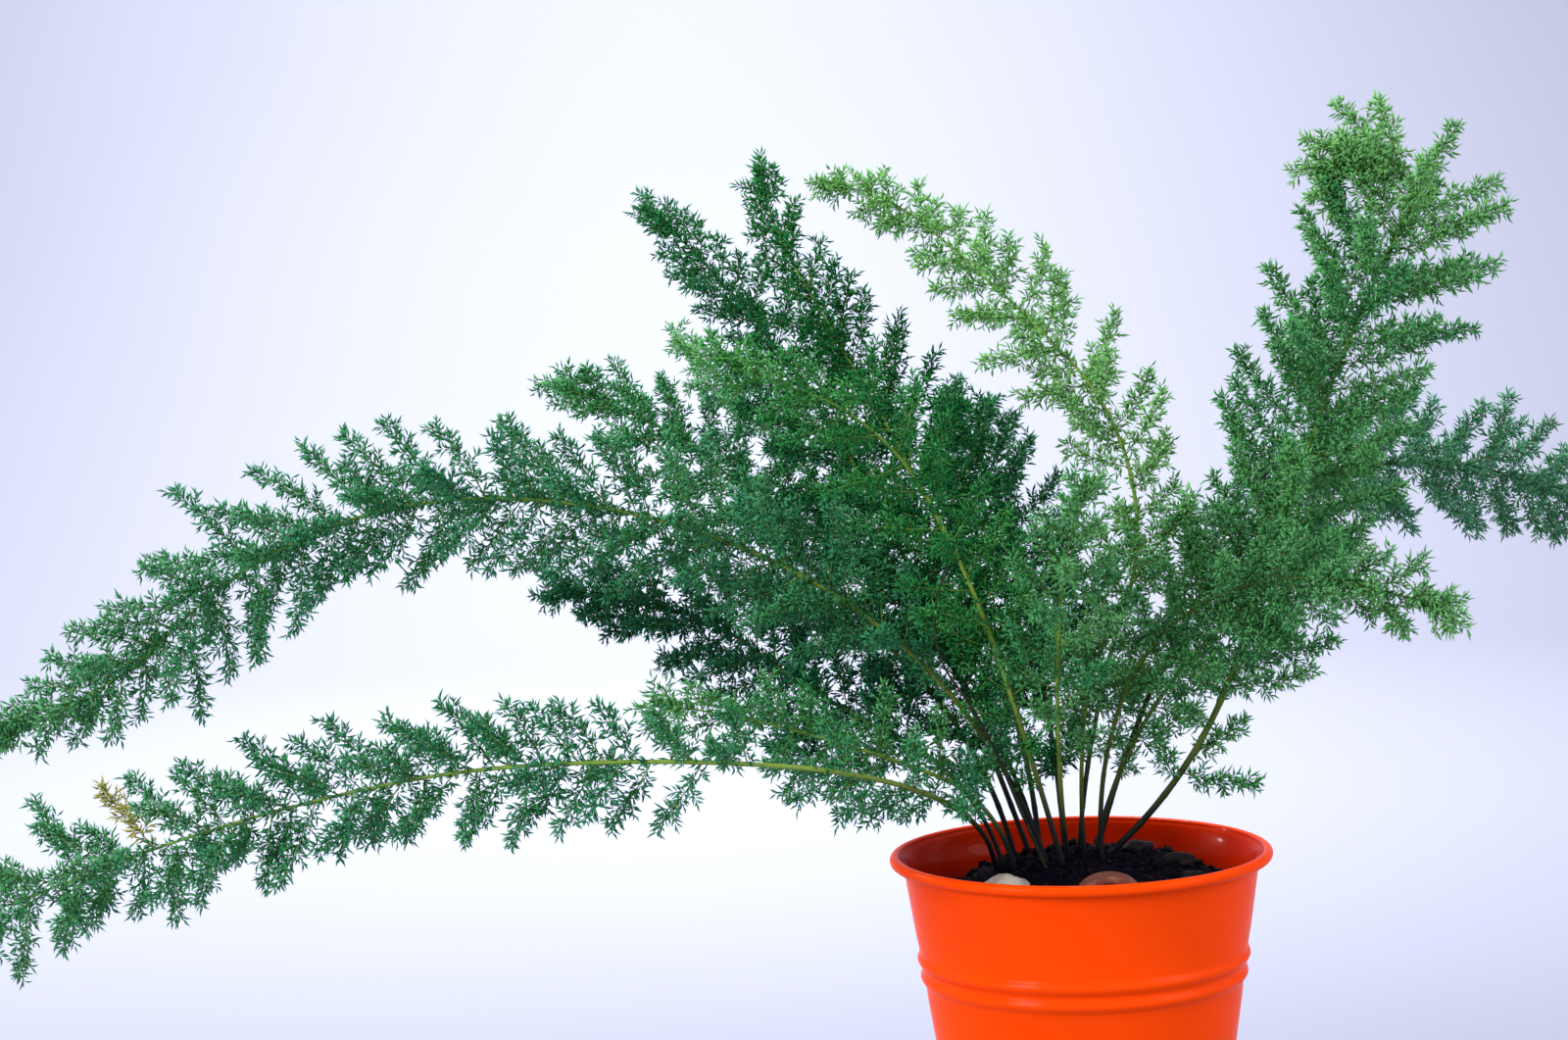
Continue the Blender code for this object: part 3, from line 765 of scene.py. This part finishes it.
class FERN_OT_lying(bpy.types.Operator):
    """Lays the stone, the terracotta chip and the bark on the soil"""

    bl_idname = "fern.lying"
    bl_label = "Stone, chip and bark"

    def execute(self, context):
        stone = mineral_material("pale_stone", (0.52, 0.45, 0.38, 1), (0.36, 0.30, 0.25, 1),
                                 90, 0.6, 500, 0.25 * MM)
        bark = mineral_material("bark", (0.004, 0.003, 0.005, 1), (0.014, 0.007, 0.007, 1),
                                120, 0.95, 420, 0.6 * MM)
        self.lump("pale_stone", stone, "pale_stone", 1.0, 0.25)
        for number in (1, 2, 3):
            self.lump(f"bark_{number}", bark, "bark", number + 2.0, 0.4)
        clay = mineral_material("terracotta", (0.16, 0.045, 0.030, 1), (0.26, 0.090, 0.060, 1),
                                150, 0.8, 600, 0.3 * MM)
        self.chip(clay)
        return {"FINISHED"}

    def lump(self, node, material, slot, seed, rough):
        low, high = (Vector(corner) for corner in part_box(node))
        half = (high - low) / 2
        middle = (high + low) / 2
        bm = lump_bmesh(seed, (1, 1, 1), rough, 4)
        reach = [max(abs(vertex.co[axis]) for vertex in bm.verts) for axis in range(3)]
        for vertex in bm.verts:
            fitted = [vertex.co[axis] / reach[axis] * half[axis] for axis in range(3)]
            vertex.co = middle + Vector(fitted)
        piece = object_from_bmesh(node + "_surface", bm, material)
        piece.data.shade_smooth()
        place_piece(piece, slot, node)

    def chip(self, material):
        """An arched shard with a rounded, slightly broken edge."""
        low, high = (Vector(corner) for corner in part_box("terracotta_chip"))
        half = (high - low) / 2
        middle = (high + low) / 2
        bm = bmesh.new()
        across, deep = 28, 12
        grid = []
        for row in range(deep + 1):
            line = []
            for column in range(across + 1):
                angle = math.radians(18 + 144 * column / across)
                edge = 0.6 * MM * noise.noise(Vector((column * 0.35, 4 + row * 0.1, 0)))
                along = (2 * row / deep - 1) * (half.y - 1.0 * MM - abs(edge))
                x = (half.x - 0.4 * MM) * math.cos(angle)
                z = (high.z - low.z - 0.5 * MM) * math.sin(angle)
                line.append(bm.verts.new((middle.x + x, middle.y + along, low.z + z)))
            grid.append(line)
        for row in range(deep):
            for column in range(across):
                bm.faces.new((grid[row][column], grid[row][column + 1],
                              grid[row + 1][column + 1], grid[row + 1][column]))
        piece = object_from_bmesh("terracotta_shard", bm, material)
        solid = piece.modifiers.new("thickness", "SOLIDIFY")
        solid.thickness = 2.6 * MM
        solid.offset = -1
        bevel = piece.modifiers.new("edges", "BEVEL")
        bevel.width = 0.5 * MM
        bevel.segments = 2
        piece.data.shade_smooth()
        place_piece(piece, "terracotta", "terracotta_chip")


# Stems and plumes

STEM_STEP = 2.6 * MM
STEM_SIDES = 6
# How much of its radius a stem loses to its tip, and how late
STEM_THINNING = 0.70
THINNING_POWER = 1.3
KNOT_SWELL = 0.10


def stem_route(foot, length, headings, rises):
    """Evenly spaced points along a stem above the soil, with the share of each."""
    count = max(20, round(length * MM / STEM_STEP))
    shares = (np.arange(count) + 0.5) / count
    headings = np.radians(np.interp(shares, HEADING_AT, headings))
    rises = np.radians(np.interp(shares, RISE_AT, rises))
    steps = np.stack([np.cos(rises) * np.cos(headings), np.cos(rises) * np.sin(headings),
                      np.sin(rises)], 1) * (length * MM / count)
    start = np.array((foot[0] * MM, foot[1] * MM, STEM_START))
    return np.vstack([start, start + np.cumsum(steps, 0)]), np.arange(count + 1) / count


def with_foot(points):
    """The route with its buried foot, which runs straight on into the soil."""
    down = unit(points[0] - points[1])
    return np.vstack([points[0] + down * np.linspace(STEM_DEPTH, 2 * MM, 4)[:, None], points])


def add_stem(shell, points, shares, radius, dark):
    """The stem with its buried foot and the small swellings that its sprays grow from."""
    route = with_foot(points)
    radii = radius * MM * (1 - STEM_THINNING * shares ** THINNING_POWER)
    knots = KNOT_SWELL * np.clip(np.sin(shares * len(shares) * 1.1), 0, 1) ** 6
    buried = len(route) - len(points)
    radii = np.concatenate([np.full(buried, radii[0]), radii * (1 + knots)])
    along = np.concatenate([np.zeros(buried), shares])
    verts, faces = tube_arrays(route, radii, STEM_SIDES)
    reds = np.concatenate([np.repeat(along, STEM_SIDES), (0, 1)])
    shell.add(verts, faces, np.stack([reds, np.full(len(reds), dark), np.zeros(len(reds))], 1))


def spray_route(start, along, out, length, lean, bend, count=6):
    """A side spray's points: it leaves the stem at its lean and bends on towards the tip."""
    steps = np.linspace(0, 1, count)
    angles = lean - bend * steps
    aims = np.cos(angles)[:, None] * along + np.sin(angles)[:, None] * out
    moves = aims * (length / (count - 1))
    return start + np.vstack([np.zeros(3), np.cumsum(moves[:-1], 0)])


class Twigs:
    """Gathers the straight pieces that needles grow from, each with its look."""

    def __init__(self):
        self.starts, self.steps, self.looks = [], [], []

    def add(self, starts, steps, tone, straw, weight):
        self.starts.append(starts)
        self.steps.append(steps)
        self.looks.append(np.broadcast_to((tone, straw, weight), (len(starts), 3)))

    def arrays(self):
        return np.vstack(self.starts), np.vstack(self.steps), np.vstack(self.looks)


def add_route(twigs, route, tone, straw, weight):
    twigs.add(route[:-1], np.diff(route, axis=0), tone, straw, weight)


def add_side_twigs(twigs, route, size, rng, settings, tone, straw):
    """A spray's own twigs, all round it: short at its foot and shorter again at its blunt tip."""
    count = max(4, round(size / settings.twig_pitch))
    at = (np.arange(count) + rng.uniform(0.2, 0.8, count)) / count
    tangents, first, second = side_frames(route)
    position = at * (len(route) - 1)
    low = np.minimum(position.astype(int), len(route) - 2)
    part = (position - low)[:, None]
    starts = route[low] * (1 - part) + route[low + 1] * part
    angles = np.arange(count) * GOLDEN_ANGLE + rng.uniform(0, 6.28)
    around = np.cos(angles)[:, None] * first[low] + np.sin(angles)[:, None] * second[low]
    lean = np.radians(70 - 36 * at ** 1.5 + rng.normal(0, 5, count))[:, None]
    aims = np.cos(lean) * tangents[low] + np.sin(lean) * around
    profile = np.clip(0.45 + 1.7 * at, 0, 1) * (1 - 0.4 * at ** 4)
    reach = settings.twig * profile * rng.uniform(0.8, 1.12, count)
    twigs.add(starts, aims * reach[:, None], tone, straw, 1.0)
    return starts, aims * reach[:, None]


# A needle's or a twig's four faces: corner 0 is its foot, 1 and 2 its sides and 3 its point
NEEDLE_FACES = np.array([(0, 2, 1), (3, 1, 2), (0, 1, 3), (0, 3, 2)])
# How much lighter each corner is than the needle itself
FOOT_TO_POINT = (-0.06, 0, 0, 0.08)
# The part of its length times its width that a needle hides, seen from a side by chance
NEEDLE_COVER = 0.47
# How far a needle's sides stand off the line from foot to point, as a share of its width
NEEDLE_KEEL = 0.7


def needle_shapes(roots, moves, width, keel, rng):
    """Points and faces of keeled needles: each is a closed, slightly bowed shape."""
    count = len(roots)
    aims = unit(moves)
    side = rng.normal(0, 1, (count, 3))
    side = unit(side - aims * np.sum(side * aims, 1, keepdims=True))
    middle = roots + moves * 0.5 + np.cross(aims, side) * (width * keel)
    half = side * (width * 0.5)
    verts = np.stack([roots, middle + half, middle - half, roots + moves], 1)
    faces = NEEDLE_FACES[None] + (np.arange(count) * 4)[:, None, None]
    return verts.reshape(-1, 3), faces.reshape(-1, 3)


def add_needles(shell, twigs, count, blue, rng, settings):
    """Needles in small tufts all along the twigs, spread evenly over their length."""
    starts, steps, looks = twigs.arrays()
    lengths = np.linalg.norm(steps, axis=1)
    ends = np.cumsum(lengths * looks[:, 2])
    place = (np.arange(count) + rng.uniform(0, 1, count)) / count * ends[-1]
    which = np.minimum(np.searchsorted(ends, place), len(ends) - 1)
    share = 1 - (ends[which] - place) / np.maximum(lengths[which] * looks[which, 2], 1e-9)
    tuft = settings.tuft_pitch / np.maximum(lengths[which], settings.tuft_pitch)
    share = (np.floor(share / tuft) + 0.5 + rng.normal(0, 0.25, count)) * tuft
    share = np.clip(share, 0.03, 1)
    aims = unit(steps)
    first = unit(np.cross(aims, (0.31, 0.17, 0.93)))
    second = np.cross(aims, first)
    angles = np.arange(count) * GOLDEN_ANGLE + rng.normal(0, 0.4, count)
    around = np.cos(angles)[:, None] * first[which] + np.sin(angles)[:, None] * second[which]
    lean = np.radians(rng.normal(60, 11, count) - 24 * share ** 2)[:, None]
    aim = unit(aims[which] * np.cos(lean) + around * np.sin(lean))
    roots = starts[which] + steps[which] * share[:, None]
    reach = settings.needle * rng.uniform(0.65, 1.12, (count, 1))
    width = settings.needle_width * rng.uniform(0.85, 1.15, (count, 1))
    verts, faces = needle_shapes(roots, aim * reach, width, NEEDLE_KEEL, rng)
    leaf = np.empty((count, 4, 3))
    lightness = looks[which, 0] + rng.normal(0, TONE_SPREAD, count)
    leaf[:, :, 0] = lightness[:, None] + FOOT_TO_POINT
    leaf[:, :, 1] = blue
    leaf[:, :, 2] = looks[which, 1][:, None]
    shell.add(verts, faces, np.clip(leaf, 0, 1).reshape(-1, 3))


def clear_of_pot(route):
    """False where a spray would reach into the pot's rim, its wall or the soil."""
    radius, height = np.hypot(route[:, 0], route[:, 1]), route[:, 2]
    by_rim = (radius < RIM_RADIUS + RIM_CLEAR) & (radius > RIM_ZONE)
    near_rim = by_rim & (height < POT_HEIGHT + RIM_ABOVE)
    in_soil = (radius <= RIM_ZONE) & (height < SOIL_CROWN + SOIL_CLEAR)
    return not (near_rim | in_soil).any()


def build_frond(name, settings, leaf_material, wood_material):
    foot, length, headings, rises, half_width, bare, radius = FRONDS[name]
    light, blue, full, cover, dark = LOOKS[name]
    rng = np.random.default_rng(settings.seed + list(FRONDS).index(name))
    points, shares = stem_route(foot, length, headings, rises)
    tangents = unit(np.gradient(points, axis=0))
    broad = unit(np.cross(tangents, LIGHT_SIDE))
    thin = np.cross(tangents, broad)
    wood, leaves, twigs = Shell(), Shell(), Twigs()
    add_stem(wood, points, shares, radius, dark)
    reach = half_width * MM / math.sin(math.radians(SOLID_LEAN))
    run = length * MM
    start = bare * 0.5
    count = int(run * (1 - start) / settings.spray_pitch * math.sqrt(full / 1.5))
    turn = rng.uniform(0, 6.28)
    yellowed = YELLOWED.get(name)
    tip_light = OTHER_TIP_LIGHTS.get(name, TIP_LIGHT)
    full_from = OTHER_FULL_FROM.get(name, FULL_FROM * bare)
    tip_run, tip_width = OTHER_TIPS.get(name, (TIP_RUN, TIP_WIDTH))
    for index in range(count):
        share = min(start + (1 - start) * (index + rng.uniform(0, 1)) / count, 0.995)
        turn += GOLDEN_ANGLE + rng.normal(0, TURN_SPREAD)
        grown = min(1, (share - start) / (full_from - start))
        chance = LOWEST_CHANCE + (1 - LOWEST_CHANCE) * grown ** 2
        if rng.uniform() > chance:
            continue
        at = share * (len(points) - 1)
        low = min(int(at), len(points) - 2)
        place = points[low] + (points[low + 1] - points[low]) * (at - low)
        angle = turn - FLATTEN * math.sin(2 * turn)
        out = math.cos(angle) * broad[low] + math.sin(angle) * thin[low]
        left = min(1, (1 - share) * run / tip_run)
        taper = (tip_width + (1 - tip_width) * left ** 0.8) * min(1, 0.5 + 0.5 * chance)
        size = reach * taper * rng.uniform(*SPRAY_SIZE)
        lean = math.radians(rng.normal(*SPRAY_LEAN) - TIP_LEAN * (1 - left))
        bend = math.radians(rng.uniform(*SPRAY_BEND))
        route = spray_route(place, tangents[low], out, size, lean, bend)
        if not clear_of_pot(route):
            continue
        to_tip = max(0, share - LIGHTER_FROM) / (1 - LIGHTER_FROM)
        tone = light + rng.normal(0, TONE_SPREAD) + tip_light * to_tip
        straw = 0.0
        if yellowed and abs(share - yellowed) < YELLOWED_REACH and out[2] > 0.2:
            straw = YELLOW
        core = np.linspace(*SPRAY_CORE, len(route))
        verts, faces = tube_arrays(route[::2], core[::2], 3)
        wood.add(verts, faces, (SPRAY_COLOUR, dark * 0.5, straw))
        add_route(twigs, route[1:], tone, straw, CORE_WEIGHT)
        starts, steps = add_side_twigs(twigs, route, size, rng, settings, tone, straw)
        verts, faces = needle_shapes(starts, steps, TWIG_WIDTH, TWIG_KEEL, rng)
        wood.add(verts, faces, (TWIG_COLOUR, dark * 0.4, straw))
    add_route(twigs, points[int(bare * len(points)):], light, 0.0, STEM_WEIGHT * cover)
    add_route(twigs, points[-6:], light + TIP_LIGHT, 0.0, TIP_WEIGHT)
    area = settings.needle * settings.needle_width * NEEDLE_COVER
    outline = run * (1 - 0.5 * start) * 2 * half_width * MM
    add_needles(leaves, twigs, int(full * outline / area * NEEDLE_SHARE), blue, rng, settings)
    slot = "young_foliage" if name == "arching" else "foliage"
    place_piece(wood.make(name + "_stem", wood_material), slot, "frond_" + name)
    place_piece(leaves.make(name + "_needles", leaf_material, False), slot, "frond_" + name)


class FERN_OT_fronds(bpy.types.Operator):
    """Grows every frond: its stem, its side sprays and their needles"""

    bl_idname = "fern.fronds"
    bl_label = "Fronds"

    def execute(self, context):
        settings = context.scene.fern_fronds
        leaf_material = needle_material(settings)
        wood_material = stem_material()
        for name in FRONDS:
            build_frond(name, settings, leaf_material, wood_material)
        return {"FINISHED"}


class FERN_OT_dry_stem(bpy.types.Operator):
    """Adds the bare dry stem that arches among the fronds"""

    bl_idname = "fern.dry_stem"
    bl_label = "Dry stem"

    def execute(self, context):
        foot, length, headings, rises = DRY_STEM
        points, _ = stem_route(foot, length, headings, rises)
        route = with_foot(points)
        rough = [1 + 0.18 * noise.noise(Vector(point) / (4 * MM)) for point in route]
        radii = np.linspace(0.75, 0.30, len(route)) * MM * rough
        verts, faces = tube_arrays(route, radii, 8)
        material = mineral_material("dry_bark", (0.012, 0.018, 0.010, 1), (0.030, 0.030, 0.016, 1),
                                    300, 0.9, 900, 0.2 * MM)
        stem = object_from_arrays("dry_stem_bark", verts, faces, material)
        place_piece(stem, "dry_stem", "dry_stem")
        return {"FINISHED"}


# Stage

class FERN_OT_stage(bpy.types.Operator):
    """Sets the floor with its backdrop, the soft lights and the camera"""

    bl_idname = "fern.stage"
    bl_label = "Stage"

    def execute(self, context):
        settings = context.scene.fern_stage
        self.backdrop(settings)
        self.lights(context.scene)
        self.camera(context.scene, settings)
        context.scene.view_settings.view_transform = "Standard"
        return {"FINISHED"}

    def backdrop(self, settings):
        """A floor that sweeps up into a wall behind the plant."""
        depth, sweep, height, half = 1.7, 0.9, 3.2, 4.0
        profile = [(-4.0, 0.0), (depth, 0.0)]
        for degrees in range(6, 91, 6):
            angle = math.radians(degrees)
            profile.append((depth + sweep * math.sin(angle), sweep - sweep * math.cos(angle)))
        profile.append((depth + sweep, height))
        bm = bmesh.new()
        left = [bm.verts.new((-half, y, z)) for y, z in profile]
        right = [bm.verts.new((half, y, z)) for y, z in profile]
        for index in range(len(profile) - 1):
            bm.faces.new((left[index], right[index], right[index + 1], left[index + 1]))
        floor = object_from_bmesh("floor", bm, stage_material(settings.floor))
        floor.data.shade_smooth()

    def lights(self, scene):
        world = bpy.data.worlds.new("soft_room")
        world.use_nodes = True
        sky = world.node_tree.nodes["Background"]
        sky.inputs["Color"].default_value = (0.96, 0.98, 1.0, 1)
        sky.inputs["Strength"].default_value = 0.98
        scene.world = world
        self.area("key", (-1.9, -1.7, 1.15), (0.0, 0.0, 0.2), 1.1, 49, (1, 0.98, 0.95))
        self.area("fill", (1.8, -0.9, 1.2), (0.0, 0.0, 0.2), 1.4, 17, (0.95, 0.97, 1))
        self.area("backdrop_wash", (-0.24, 1.5, 1.25), (-0.24, 2.3, 0.35), 0.5, 26, (1, 0.98, 0.88))
        self.area("floor_wash", (-0.10, 0.80, 1.1), (-0.06, 0.80, 0.0), 0.4, 16, (1, 0.99, 0.93))
        self.area("spark", (-1.5, 1.0, 1.1), (0.0, 0.0, 0.13), 0.12, 16, (1, 1, 1))

    def area(self, name, place, target, size, power, colour):
        data = bpy.data.lights.new(name, "AREA")
        data.shape = "DISK"
        data.size = size
        data.energy = power
        data.color = colour
        light = bpy.data.objects.new(name, data)
        light.location = place
        aim = Vector(target) - Vector(place)
        light.rotation_euler = aim.to_track_quat("-Z", "Y").to_euler()
        bpy.context.scene.collection.objects.link(light)

    def camera(self, scene, settings):
        data = bpy.data.cameras.new("camera")
        data.lens = settings.lens
        data.sensor_width = 36
        data.clip_start = 0.01
        camera = bpy.data.objects.new("camera", data)
        down = Matrix.Rotation(math.pi / 2 - settings.pitch, 3, "X")
        camera.rotation_euler = (down @ Matrix.Rotation(settings.roll, 3, "Z")).to_euler()
        camera.location = settings.camera_place
        scene.collection.objects.link(camera)
        scene.camera = camera


# Panel and registration

class FERN_PT_panel(bpy.types.Panel):
    """Lists the pieces of the fern and their settings"""

    bl_idname = "FERN_PT_panel"
    bl_label = "Foxtail fern"
    bl_space_type = "VIEW_3D"
    bl_region_type = "UI"
    bl_category = "Foxtail fern"

    def draw(self, context):
        scene = context.scene
        for operator in (FERN_OT_pot, FERN_OT_soil, FERN_OT_lying, FERN_OT_dry_stem,
                         FERN_OT_fronds, FERN_OT_stage):
            self.layout.operator(operator.bl_idname)
        for group in (scene.fern_pot, scene.fern_soil, scene.fern_fronds, scene.fern_stage):
            box = self.layout.box()
            for name in group.__annotations__:
                box.prop(group, name)


SETTINGS = {
    "fern_pot": FernPotSettings,
    "fern_soil": FernSoilSettings,
    "fern_fronds": FernFrondSettings,
    "fern_stage": FernStageSettings,
}
CLASSES = (*SETTINGS.values(), FERN_OT_pot, FERN_OT_soil, FERN_OT_lying, FERN_OT_dry_stem,
           FERN_OT_fronds, FERN_OT_stage, FERN_PT_panel)


def register():
    for item in CLASSES:
        bpy.utils.register_class(item)
    for name, group in SETTINGS.items():
        setattr(bpy.types.Scene, name, PointerProperty(type=group))


def unregister():
    for name in SETTINGS:
        delattr(bpy.types.Scene, name)
    for item in reversed(CLASSES):
        bpy.utils.unregister_class(item)


def main():
    register()
    bpy.ops.fern.stage()
    bpy.ops.fern.pot()
    bpy.ops.fern.soil()
    bpy.ops.fern.lying()
    bpy.ops.fern.dry_stem()
    bpy.ops.fern.fronds()


if __name__ == "__main__":
    main()
